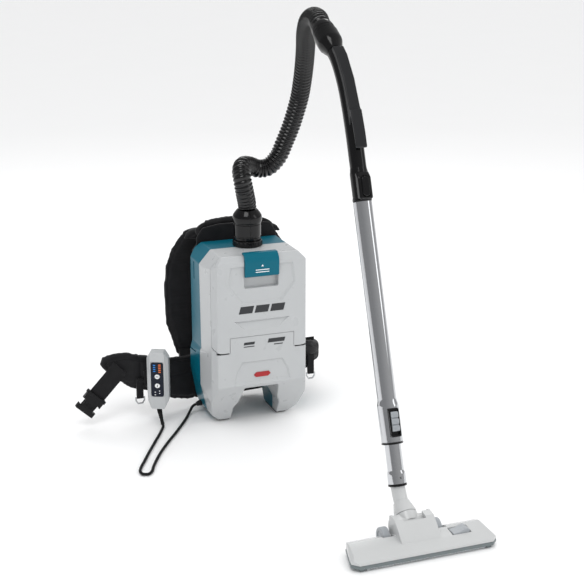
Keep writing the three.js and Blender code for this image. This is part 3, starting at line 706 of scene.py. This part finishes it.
def add_housings():
    outer = combine(body_form(0, 4.5), cut=facets(BODY_FRONT))

    def outer_copy():
        return new_object(outer.data.copy())

    def inlet_hole():
        return lathe([(0, 360), (24.5, 360), (24.5, 396), (0, 396)], 64, at(0, INLET_Y, 0))

    front = combine(outer_copy(), common=(block((-140, -90, -10), (140, SEAM_Y - 0.3, 420)),),
                    cut=(body_form(WALL), door_region(SEAM), inlet_hole(),
                         block((-101, -90, 175.5), (-74, DOOR_BACK + 1, 180)),
                         block((74, -90, 175.5), (101, DOOR_BACK + 1, 180))))
    finish_piece(bevel(front, 0.5, 2, 50), "front_shell", WHITE, node="front_housing", angle=13)

    latch_room = prism("x", [(-75, 340), (-61.8, 340), (-61.8, 373), (-59.5, 384), (-56, 386.1),
                             (-56, 395), (-75, 395)], -38.8, 38.8)
    pocket = prism("y", rounded_rectangle(-38.4, 316, 38.4, 341.5, 4), -75, -52)
    backing = combine(outer_copy(), common=(block((-44, -70, 309), (44, -48.5, 400)),))
    door = combine(outer_copy(), common=(door_region(),))
    thin_foot = combine(body_form(3), common=(block((-140, -90, 0), (140, 0, 222)),))
    combine(door, cut=(body_form(5), thin_foot))
    combine(door, join=(backing,))
    combine(door, cut=(latch_room, pocket))
    finish_piece(bevel(door, 0.6, 2, 50), "door_shell", WHITE, node="door", angle=13)

    rear = combine(outer_copy(), common=(block((-140, SEAM_Y + 0.3, -10), (140, 120, 420)),))
    combine(rear, cut=(body_form(WALL), inlet_hole(), block((-33, 39, 40), (33, 93, 80)),
                       prism("x", rounded_rectangle(40, 240, 82, 330, 5), 100, 130),
                       prism("x", rounded_rectangle(57.5, 312, 62.5, 352, 2.4), -120, -105),
                       block((-135, 44, 150), (-110.3, 88, 153))))
    finish_piece(bevel(rear, 0.5, 2, 50), "rear_shell", TEAL, node="rear_housing", angle=13)
    bpy.data.objects.remove(outer)

    latch = prism("x", [(-68, 341), (-70, 344), (-71, 372), (-69.5, 380), (-64, 388), (-58, 391.5),
                        (-47, 391.5), (-47, 386.6), (-56, 386.6), (-60, 384.2), (-62.4, 373),
                        (-62.4, 341)], -38, 38)
    finish_piece(bevel(latch, 2.2, 4, 20), "latch_lever", TEAL, node="door_latch")
    lean = BENCH @ at(0, -71, 356) @ turned(2, "X")
    for name, low, high in (("latch_line_upper", (-15, -0.15, 0), (15, 0.6, 1.6)),
                            ("latch_line_lower", (-15, -0.05, -5), (15, 0.7, -3.4))):
        finish_piece(bevel(block(low, high), 0.1, 1), name, PRINT_WHITE, body="latch",
                     place=lean)
    mark = prism("y", [(-2.6, 8), (2.6, 8), (0, 12)], -0.5, 0.6)
    finish_piece(bevel(mark, 0.1, 1), "latch_arrow", PRINT_WHITE, body="latch", place=lean)


def slanted(x, z, width, height):
    lean = height * 0.28
    return [(x, z), (x + width, z), (x + width + lean, z + height), (x + lean, z + height)]


def add_front_marks():
    """Plain stripes, dashes and a blank red badge stand where the lettering was."""
    for i, x in enumerate((-52, -17, 18)):
        bar = prism("y", slanted(x, 262, 30, 16), BODY_FRONT - 0.35, BODY_FRONT + 0.6)
        finish_piece(bevel(bar, 0.15, 1), f"front_stripe_{i + 1}", PRINT_DARK, body="door")
    dashes = ((-42, 192, 24, 6), (-42, 187, 24, 2), (12, 192, 38, 9), (26, 186, 20, 2.4))
    for i, bounds in enumerate(dashes):
        dash = prism("y", slanted(*bounds), BODY_FRONT - 0.3, BODY_FRONT + 0.6)
        finish_piece(bevel(dash, 0.12, 1), f"panel_dash_{i + 1}", PRINT_DARK, body="backpack")
    lens = [(-19, 122), (-13, 127.5), (15, 127.5), (19, 122), (13, 116.5), (-15, 116.5)]
    badge = prism("y", lens, BODY_FRONT + 1.0, BODY_FRONT + 2.5)
    finish_piece(bevel(badge, 0.4, 2), "blank_badge", PRINT_RED, body="backpack")


add_housings()
add_front_marks()


# ---- cuffs and port
def add_cuffs():
    """Inlet port with a knurled ring, the swivel cuff, and the handle's cuff."""
    at_inlet = BENCH @ at(0, INLET_Y, 0)
    ring = lathe([(22.8, 377), (23.5, 377), (23.5, 386.5), (30.4, 386.5), (31, 387.4), (31, 398),
                  (30, 399.8), (22.8, 399.8), (22.8, 377)], 96)
    grips = []
    for i in range(20):
        turn = Matrix.Rotation(2 * math.pi * i / 20, 4, "Z")
        grip = prism("z", [(30.5, -2.6), (32.2, -1.8), (32.2, 1.8), (30.5, 2.6)], 387.6, 397)
        grip.data.transform(turn)
        grips.append(grip)
    combine(ring, join=grips)
    finish_piece(bevel(ring, 0.5, 2, 30), "inlet_ring", GLOSS, node="inlet_port", place=at_inlet)
    cuff = lathe([(16, 378), (22.2, 378), (22.2, 400.6), (28.4, 400.6), (29.2, 401.6), (29.2, 406),
                  (28.2, 406.8), (28.2, 409), (29.4, 409.8), (29.4, 434), (28.4, 434.8), (28.4, 436.6),
                  (30.2, 437.6), (31.4, 441), (31.8, 449), (30.8, 454), (27.5, 459), (23.2, 464.5),
                  (21.6, 465.8), (16, 465.8), (16, 378)], 96)
    finish_piece(cuff, "inlet_cuff_shape", GLOSS, node="inlet_cuff", place=at_inlet, angle=30)
    cuff = lathe([(14, 10.2), (17.6, 10.2), (17.6, 36.6), (22, 36.6), (22.8, 37.6), (22.8, 42),
                  (21.6, 43), (21.6, 45), (22.6, 46), (22.2, 53), (21.2, 58.5), (20.4, 59.8), (14, 59.8),
                  (14, 10.2)], 80)
    finish_piece(cuff, "handle_cuff_shape", GLOSS, node="handle_cuff", place=SOCKET, angle=30)


add_cuffs()


# ---- handle, tubes and their locks
GRIP_ROUTE = [(0, 0, 517.35), (0, 0, 590), (0, 1, 645), (0, 4.5, 695), (0, 11.5, 738), (0, 28, 783),
              (0, 50, 815)]
GRIP_COVER = [(-6, 648), (-1.5, 695), (5.7, 740), (22.7, 786), (34.5, 804.5), (23.5, 811.5),
              (9.8, 792), (-8.8, 743), (-17, 697), (-19, 686), (-24, 682), (-28.5, 642), (-29, 613),
              (-25, 611), (-22.5, 645), (-19.5, 672), (-16, 668)]


def add_handle():
    route = smooth_route(GRIP_ROUTE, 3)[0]
    pipe = tube_along(route, 15.2, 64, hint=(1, 0, 0))
    sleeve = lathe([(0, 486.4), (15.2, 486.4), (15.2, 517.4), (17.2, 517.4), (17.9, 518.2), (17.9, 523),
                    (17.1, 524), (17.1, 568), (16.6, 570), (15.3, 579), (0, 579)], 80)
    housing = bevel(prism("x", [(-24, 519), (-24, 559), (-16, 571), (0, 571), (0, 519)], -13, 13), 4, 4)
    bell = lathe([(0, -18), (15.6, -18), (17.5, -9), (21, 0), (23.4, 7), (24, 12), (24, 34.6),
                  (23, 36), (0, 36)], 80, ON_WAND)
    combine(pipe, join=(sleeve, housing, bell))
    bore = smooth_route([(0, 0, 470), *GRIP_ROUTE], 4)[0]
    combine(pipe, cut=(tube_along(bore, 11.5, 32, hint=(1, 0, 0)),
                       lathe([(0, -13), (11.5, -13), (11.5, 6), (18.2, 6), (18.2, 60), (0, 60)], 64, ON_WAND),
                       prism("y", rounded_rectangle(-8, 522, 8, 563, 7.5), -30, -17.4)))
    finish_piece(pipe, "handle_bend", GLOSS, node="handle_pipe", place=WAND, angle=30)

    cover = prism("x", GRIP_COVER, -11, 11)
    bevel(cover, 3.6, 6, 40)
    combine(cover, cut=(tube_along(route, 15.5, 64, hint=(1, 0, 0)),))
    finish_piece(cover, "grip_saddle", SOFT_GREY, node="grip_cover", place=WAND, angle=30)

    button = prism("y", rounded_rectangle(-7.4, 524, 7.4, 561, 7.2), -26, -20.4)
    finish_piece(bevel(button, 1.8, 4, 40), "release_button", GLOSS, node="wand_release", place=WAND)


def add_tubes():
    outer = lathe([(15.6, 79), (19.4, 79), (19.8, 79.6), (19.8, 144), (19.2, 147), (17.8, 153),
                   (17.4, 157), (17.4, 516.4), (17, 517), (15.6, 517), (15.6, 79)], 96)
    combine(outer, cut=(prism("y", rounded_rectangle(-10.4, 87.6, 10.4, 140.4, 3), -30, -17.3),))
    finish_piece(outer, "outer_tube_shape", TUBE, node="outer_tube", place=WAND, angle=30)
    end = lathe([(15.6, 75), (19.4, 75), (20, 75.8), (20, 78.3), (15.6, 78.3), (15.6, 75)], 96)
    finish_piece(end, "outer_tube_rim", GLOSS, node="tube_end_ring", place=WAND)
    inner = lathe([(13.8, 3), (16.5, 3), (16.9, 3.6), (16.9, 20), (16.2, 23.5), (15.2, 26.5), (15, 28),
                   (15, 439), (14.6, 440), (13.8, 440), (13.8, 3)], 96)
    pin = lathe([(0, 0), (2.4, 0), (2.4, 30), (0, 30)], 32, at(0, 0, 14) @ turned(90, "X"))
    finish_piece(combine(inner, cut=(pin,)), "inner_tube_shape", TUBE, node="inner_tube", place=WAND,
                 angle=30)
    end = lathe([(13.8, -1), (16.8, -1), (17.4, -0.2), (17.4, 2.5), (13.8, 2.5), (13.8, -1)], 96)
    finish_piece(end, "inner_tube_rim", GLOSS, node="inner_end_ring", place=WAND)

    bezel = bevel(prism("y", rounded_rectangle(-10, 88, 10, 140, 3), -24.6, -17.6), 1.6, 4, 40)
    combine(bezel, cut=(prism("y", rounded_rectangle(-7.4, 92, 7.4, 136, 1.6), -30, -20),))
    finish_piece(bezel, "lock_frame", GLOSS, node="lock_bezel", place=WAND)
    shoe = bevel(block((-7, -23.6, 98), (7, -20.4, 134)), 0.8, 2)
    starts = (98.5, 110.6, 122.7)
    pads = []
    for z in starts:
        pads.append(bevel(prism("x", [(-21, z), (-26.2, z + 0.6), (-27.2, z + 3), (-27.2, z + 8),
                                      (-26.2, z + 10.4), (-21, z + 10.8)], -6.9, 6.9), 0.9, 3, 20))
    combine(shoe, join=pads)
    ribs = [block((-5.4, -28, z + k), (5.4, -26.7, z + k + 0.7))
            for z in starts for k in (3, 5.2, 7.4)]
    finish_piece(combine(shoe, cut=ribs), "lock_pads", WHEEL, node="length_lock", place=WAND)


add_handle()
add_tubes()


# ---- nozzle
BRUSH_ROWS = (("front", -725), ("rear", -695))
BRISTLES = 46
BRISTLE_PITCH = 230 / BRISTLES


def add_nozzle():
    rounded("nozzle_shell", 1.6, 3, 22)
    plan = [(x + WAND_X, y) for x, y in mirrored([(128.5, -731), (140.5, -719), (138.5, -707),
                                                  (125.5, -659)])]
    sole = bevel(prism("z", plan, 5, 11.65), 1.8, 4, 30)
    skids = [bevel(block((WAND_X + side * 122 - 5, -727, 0), (WAND_X + side * 122 + 5, -715, 6)), 0.8, 2)
             for side in (-1, 1)]
    arms = [block((WAND_X + low, -672, 5.2), (WAND_X + low + 4.2, -640, 11.5)) for low in (-39, 34.8)]
    combine(sole, join=(*skids, *arms))
    slots = [block((WAND_X - 116, y - 3, 0), (WAND_X + 116, y + 3, 20)) for row, y in BRUSH_ROWS]
    wheel_rooms = [block((WAND_X + low, -677, 0), (WAND_X + low + 22, -630, 20)) for low in (-62, 40)]
    inlet = block((WAND_X - 112, -719, 0), (WAND_X + 112, -701, 20))
    combine(sole, cut=(inlet, *slots, *wheel_rooms))
    finish_piece(sole, "nozzle_sole_shape", BUMPER, node="nozzle_sole", angle=30)
    rounded("pedal", 1.6, 3, 20)
    for name, side in (("left", -1), ("right", 1)):
        place = BENCH @ at(WAND_X + side * 51, -655, 18) @ turned(90, "Y")
        tyre = lathe([(0, -6), (6, -6), (6.4, -5.4), (11.4, -5.4), (12, -6.6), (15.8, -7), (17.4, -6.2),
                      (18, -4.6), (18, 4.6), (17.4, 6.2), (15.8, 7), (12, 6.6), (11.4, 5.4), (6.4, 5.4),
                      (6, 6), (0, 6)], 72)
        finish_piece(tyre, f"roller_{name}", WHEEL, node=f"wheel_{name}", place=place)
    neck = smooth_route([(WAND_X, -596, 102.4), (WAND_X, -602, 86), (WAND_X, -609, 73),
                         (WAND_X, -617, 62), (WAND_X, -625.5, 54), (WAND_X, -631.7, 49)], 2)[0]
    seam = at(WAND_X, -638, 44) @ turned(-52, "X")
    flare = lathe([(0, 0.5), (20, 0.5), (20.6, 1.2), (20.4, 4), (19.4, 9), (17, 17), (15, 24), (0, 24)],
                  72, seam)
    elbow = combine(tube_along(neck, 13.2, 56, hint=(1, 0, 0)), join=(flare,))
    finish_piece(elbow, "neck_bend", WHITE_LIGHT, node="nozzle_elbow", angle=30)
    barrel = lathe([(0, -33.8), (17.6, -33.8), (18.5, -32.8), (18.5, 32.8), (17.6, 33.8), (0, 33.8)], 72,
                   at(WAND_X, -655, 31) @ turned(90, "Y"))
    stub = lathe([(0, -17), (20.6, -17), (20.6, -0.8), (20, -0.2), (0, -0.2)], 72, seam)
    finish_piece(combine(barrel, join=(stub,)), "knuckle_shape", WHITE_LIGHT, node="nozzle_knuckle",
                 angle=30)
    for name, y in BRUSH_ROWS:
        points = []
        for i in range(BRISTLES):
            x = WAND_X - 115 + 230 * i / BRISTLES
            points += [(x + 1.2, 0.8 + 0.5 * (i % 3)), (x + BRISTLE_PITCH - 0.6, 0.8 + 0.4 * (i % 2)),
                       (x + BRISTLE_PITCH - 0.3, 3.4)]
        comb = [*points, (WAND_X + 114, 7), (WAND_X - 113.8, 7)]
        finish_piece(prism("y", comb, y - 1.7, y + 1.7), f"bristles_{name}", BRISTLE,
                     node=f"brush_{name}", angle=20)


add_nozzle()

# ---- handset
HANDSET = BENCH @ at(-203, 40, 36) @ turned(-24, "Z") @ Matrix.Diagonal((1.12, 1.08, 1.04, 1))
KEYS = (("power_button", 72), ("mode_button", 52))


def add_handset():
    rounded("handset_case", 2.4, 4, 12)
    rounded("belt_clip", 0.8)
    for node, z in KEYS:
        key = lathe([(0, 5), (4.8, 5), (5, 13.2), (4.6, 14), (0, 14.2)], 48, at(0, 0, z) @ turned(90, "X"))
        finish_piece(key, f"{node}_key", PRINT_WHITE, node=node, place=HANDSET)
    panel = prism("y", rounded_rectangle(-12, 28, 12, 103, 4), -13.5, -12.1)
    wells = [lathe([(0, 0), (5.4, 0), (5.4, 30), (0, 30)], 48, at(0, 0, z) @ turned(90, "X"))
             for node, z in KEYS]
    finish_piece(combine(panel, cut=wells), "panel_face", PANEL_NAVY, node="handset_panel",
                 place=HANDSET)

    def mark(name, outline, material, parent="backpack", front=-13.75):
        finish_piece(prism("y", outline, front, front + 0.5), name, material, body=parent,
                     place=HANDSET)

    for i in range(4):
        z = 83 + 4.4 * i
        mark(f"level_blue_{i + 1}", rounded_rectangle(-7.5, z, -3, z + 2, 0.7), PRINT_BLUE)
    for i in range(5):
        z = 81 + 4 * i
        mark(f"level_orange_{i + 1}", rounded_rectangle(2.6, z, 7.4, z + 2, 0.5), PRINT_ORANGE)
    mark("power_bar", rounded_rectangle(-3, 71.4, 3, 72.8, 0.5), PRINT_DARK, "power_key", -14.5)
    mark("mode_bar", rounded_rectangle(-0.7, 49.4, 0.7, 54.6, 0.5), PRINT_DARK, "mode_key", -14.5)
    for i, (x, z) in enumerate(((-4.5, 38), (4, 35.5), (-4.5, 32), (4, 40.5))):
        mark(f"status_dot_{i + 1}", rounded_rectangle(x - 1.2, z - 0.8, x + 1.2, z + 0.8, 0.5), PRINT_WHITE)
    ribs = [bevel(block((20.2, -4, z), (21.7, 8, z + 2.4)), 0.5, 2) for z in range(46, 100, 7)]
    combine(ribs[0], join=ribs[1:])
    finish_piece(ribs[0], "handset_side_ribs", WHITE, body="backpack", place=HANDSET)
    below_case = BENCH @ at(-203, 39.7, 31.4) @ turned(-44, "X") @ turned(180, "X")
    relief = lathe([(0, 0), (5.4, 0), (5.4, 6), (5, 10), (5, 12), (4.3, 12.6), (4.3, 14), (4.7, 14.6),
                    (4.6, 17), (4, 17.6), (4, 19), (4.4, 19.6), (4.2, 22), (3.7, 22.6), (3.7, 34),
                    (4.2, 34.6), (4.2, 36.8), (0, 37)], 48)
    finish_piece(relief, "handset_relief_shape", RUBBER, node="handset_relief", place=below_case)
    gland = lathe([(0, 0), (7, 0), (7, 3.6), (6.4, 4.2), (4.6, 12), (0, 12)], 48,
                  at(-100.3, 62, 23.8) @ turned(-102.8, "Y"))
    finish_piece(gland, "cord_gland_shape", RUBBER, node="cord_gland")


add_handset()
add_cords()


# ---- harness
def coordinates(mesh):
    flat = np.empty(len(mesh.vertices) * 3)
    mesh.vertices.foreach_get("co", flat)
    return flat.reshape(-1, 3)


def set_coordinates(mesh, points):
    mesh.vertices.foreach_set("co", points.ravel())
    mesh.update()


def stuffed(obj, cell=5.0, cap=5.0, pressure=4.0):
    """Inflate a padded piece as cloth; no point moves further than cap millimetres."""
    obj.data.transform(Matrix.Scale(MM, 4))
    remesh = obj.modifiers.new("remesh", "REMESH")
    remesh.mode = "VOXEL"
    remesh.voxel_size = cell * MM
    settle(obj)
    rest = coordinates(obj.data)
    cloth = obj.modifiers.new("cloth", "CLOTH")
    cloth.settings.use_pressure = True
    cloth.settings.uniform_pressure_force = pressure
    cloth.settings.effector_weights.gravity = 0
    cloth.point_cache.frame_start = 1
    cloth.point_cache.frame_end = 20
    for step in range(1, 21):
        bpy.context.scene.frame_set(step)
    settle(obj)
    bpy.context.scene.frame_set(1)
    moved = coordinates(obj.data) - rest
    size = np.maximum(np.linalg.norm(moved, axis=1), 1e-9)[:, None]
    set_coordinates(obj.data, rest + moved / size * np.minimum(size, cap * MM))
    smooth = obj.modifiers.new("smooth", "SUBSURF")
    smooth.levels = 1
    settle(obj)
    obj.data.transform(Matrix.Scale(1 / MM, 4))
    return obj


def outline_distance(points, outline):
    """Distance of each point to the nearest side of a closed outline."""
    best = np.full(len(points), 1e9)
    ring = np.array(outline, float)
    for a, b in zip(ring, np.roll(ring, -1, axis=0)):
        along = b - a
        t = np.clip(((points - a) @ along) / (along @ along), 0, 1)
        best = np.minimum(best, np.linalg.norm(points - a - t[:, None] * along, axis=1))
    return best


def pressed(obj, distance, depth=1.8, width=2.6):
    """Press a seam into the surface wherever distance(points) is close to zero."""
    p = coordinates(obj.data)
    normals = np.empty(len(p) * 3)
    obj.data.vertices.foreach_get("normal", normals)
    fall = np.exp(-(distance(p) / width) ** 2)
    set_coordinates(obj.data, p - normals.reshape(-1, 3) * (fall * depth)[:, None])
    return obj


BACK_PAD = [(-94, 130), (94, 130), (106, 200), (102, 369), (82, 394), (-82, 394), (-102, 369), (-106, 200)]
STRAP_FACE = [(-46, 418), (-105, 398), (-133, 351), (-146, 316), (-151, 270), (-151, 180), (-127, 102),
              (-72, 102), (-76, 170), (-80, 300), (-46, 360)]
STRAP_SIDE = [(124, 384), (136, 402), (154, 400), (168, 372), (175, 320), (176, 250), (168, 185),
              (158, 146), (152, 108)]
LEFT_WING_LINE = [(-3, 131), (-60, 128), (-105, 117), (-150, 101), (-200, 90), (-250, 88), (-292, 98),
                  (-316, 114)]
LEFT_WING = [(-3, 8), (-92, 11), (-121, 15), (-162, 27), (-219, 57), (-253, 67), (-280, 84),
             (-301, 103), (-317, 124), (-310, 140), (-293, 150), (-265, 153), (-218, 141), (-166, 128),
             (-110, 122), (-3, 120)]
RIGHT_WING_LINE = [(3, 131), (60, 128), (105, 117), (145, 110), (180, 116), (204, 138), (214, 172)]
RIGHT_WING = [(3, 8), (92, 11), (129, 26), (169, 50), (217, 68), (217, 98), (189, 118), (150, 126),
              (110, 122), (3, 120)]


def band(line, thickness):
    """Outline of a band of even thickness along a line of points."""
    p = np.array(line, float)
    along = unit(np.gradient(p, axis=0))
    side = np.stack([-along[:, 1], along[:, 0]], axis=1) * thickness / 2
    return [*map(tuple, p + side), *map(tuple, (p - side)[::-1])]


def padded_piece(obj, name, node):
    finish_piece(obj, name, FABRIC, node=node, angle=70, weighted=False)


def add_padding():
    pad = stuffed(prism("y", BACK_PAD, 100.5, 115), 6, 4)
    pressed(pad, lambda p: np.minimum.reduce([
        outline_distance(p[:, [0, 2]], inset(BACK_PAD, 14)), np.abs(p[:, 2] - 215),
        np.abs(p[:, 2] - 300), np.abs(np.abs(p[:, 0]) - 22)]), 2.2, 3)
    padded_piece(pad, "back_cushion", "back_pad")
    for name, side in (("left", 1), ("right", -1)):
        face = [(x * side, z) for x, z in STRAP_FACE]
        strap = combine(prism("x", band(STRAP_SIDE, 11), -170, 170), common=(prism("y", face, 100, 200),))
        stuffed(strap, 5, 3)
        pressed(strap, lambda p: np.abs(outline_distance(p[:, [0, 2]], face) - 9), 1.6, 2.4)
        padded_piece(strap, f"strap_{name}", f"shoulder_strap_{name}")
    for name, line, outline in (("left", LEFT_WING_LINE, LEFT_WING), ("right", RIGHT_WING_LINE, RIGHT_WING)):
        wing = combine(prism("z", band(line, 14), 0, 200), common=(prism("y", outline, 60, 220),))
        stuffed(wing, 5, 3)
        seams = (100, 165, 232) if name == "left" else (100, 158)
        pressed(wing, lambda p: np.minimum.reduce([
            np.abs(outline_distance(p[:, [0, 2]], outline) - 10),
            *[np.abs(np.abs(p[:, 0]) - x) for x in seams], np.abs(p[:, 2] - 84)]), 1.8, 2.4)
        padded_piece(wing, f"wing_{name}", f"belt_wing_{name}")
    grip = [(-80, 110, 397), (-84, 115, 403), (-72, 121, 412), (-36, 123, 418.5), (0, 123, 420),
            (36, 123, 418.5), (72, 121, 412), (84, 115, 403), (80, 110, 397)]
    route, length = smooth_route(grip, 2)

    def thickness(along, angle):
        middle = abs(along - length / 2)
        sleeve = 9.0 if middle < 62 else 6.4
        fold = 0.35 * math.sin(along * 0.55) + 0.25 * math.sin(along * 0.23 + 2 * angle)
        return sleeve + (fold if middle < 60 else 0)

    handle = tube_along(route, thickness, 32, hint=(0, 1, 0))
    smooth = handle.modifiers.new("smooth", "SUBSURF")
    smooth.levels = 1
    padded_piece(settle(handle), "carry_grip", "carry_handle")


def add_webbing():
    yoke = prism("y", [(-92, 372), (92, 372), (92, 392), (78, 413), (40, 419), (-40, 419), (-78, 413),
                       (-92, 392)], 99.5, 105)
    finish_piece(bevel(yoke, 2, 3, 30), "harness_yoke", FABRIC, body="backpack")
    for name, x in (("left", -99), ("right", 99)):
        tail = prism("x", [(149, 126), (160, 126), (142, 76), (129.5, 76), (129.5, 94)], x - 26, x + 26)
        finish_piece(bevel(tail, 1.2, 2, 20), f"strap_tail_{name}", WEBBING, body="backpack")
    for name, x, y, z in (("left", -236, 76, 50), ("right", 176, 99, 46)):
        loop = prism("x", [(y - 2.4, z - 3.2), (y + 2.4, z - 3.2), (y + 4, z + 4), (y + 4, z + 44),
                           (y - 2.4, z + 44), (y - 3.6, z + 4)], x - 7.5, x + 7.5)
        finish_piece(bevel(loop, 0.8, 2, 20), f"ring_loop_{name}", WEBBING, body="backpack")
    rounded("belt_web_left", 0.7, 2)
    rounded("belt_web_right", 0.7, 2)
    along = at(-333.4, 74, 65.6) @ Matrix.Rotation(-math.atan2(-32.3, -30.6), 4, "Y")
    notches = [bevel(prism("y", [(16, side * 15), (34, side * 15), (31, side * 26), (19, side * 26)],
                           -9, 9), 0.5, 1) for side in (-1, 1)]
    ridges = [bevel(block((x, -7, -14), (x + 2, -5.6, 14)), 0.5, 1) for x in (22, 26, 30)]
    ladder = bevel(block((-3, -7.6, -24.5), (5, 7.6, 24.5)), 1.6, 3)
    for extra in (*notches, *ridges, ladder):
        extra.data.transform(along)
    socket = combine(bevel(copy_of("buckle_socket"), 1.6, 3), cut=notches)
    finish_piece(combine(socket, join=(*ridges, ladder)), "buckle_body", DARK, node="buckle_socket")
    rounded("buckle_plug", 1.2, 3)
    rounded("d_ring_left", 0.7)
    rounded("d_ring_right", 0.7)


def add_piping():
    """Corded seams along the belt wings and round the carry grip's ends."""
    def front_y(line, x):
        points = sorted(line)
        return float(np.interp(x, [q[0] for q in points], [q[1] for q in points]))

    for name, line, seam in (
            ("left", LEFT_WING_LINE, [(-118, 112), (-160, 116), (-210, 126), (-262, 137), (-296, 132),
                                      (-308, 118)]),
            ("right", RIGHT_WING_LINE, [(112, 110), (140, 112), (160, 112), (185, 104)])):
        route = smooth_route([(x, front_y(line, x) - 7.6, z) for x, z in seam], 3)[0]
        finish_piece(tube_along(route, 1.7, 16), f"wing_piping_{name}", WEBBING, body="backpack",
                     angle=70, weighted=False)
    for name, x in (("left", -62), ("right", 62)):
        band_ring = lathe([(8.6, -2), (10.2, -2), (10.6, 0), (10.2, 2), (8.6, 2), (8.6, -2)], 48,
                          at(x, 121.6, 414) @ turned(90, "Y"))
        finish_piece(band_ring, f"grip_end_{name}", WEBBING, body="backpack", angle=60)
    flap = prism("y", [(-178, 104), (-226, 110), (-226, 78), (-220, 70), (-184, 62), (-178, 66)], 74, 96)
    finish_piece(bevel(flap, 3, 3, 20), "belt_pocket", FABRIC, body="backpack")


add_padding()
add_webbing()
add_piping()

# ---- inside and under the backpack
for node, width in (("chamber_wall", 0.6), ("exhaust_grille", 0.6), ("foot_pad_left", 0.9),
                    ("foot_pad_right", 0.9), ("motor", 0.8), ("impeller", 0.3), ("battery_pack", 1.5),
                    ("control_board", 0.3), ("battery_terminal", 0.5), ("hepa_filter", 1.0),
                    ("bag_collar", 0.4)):
    rounded(node, width, 2, 30)
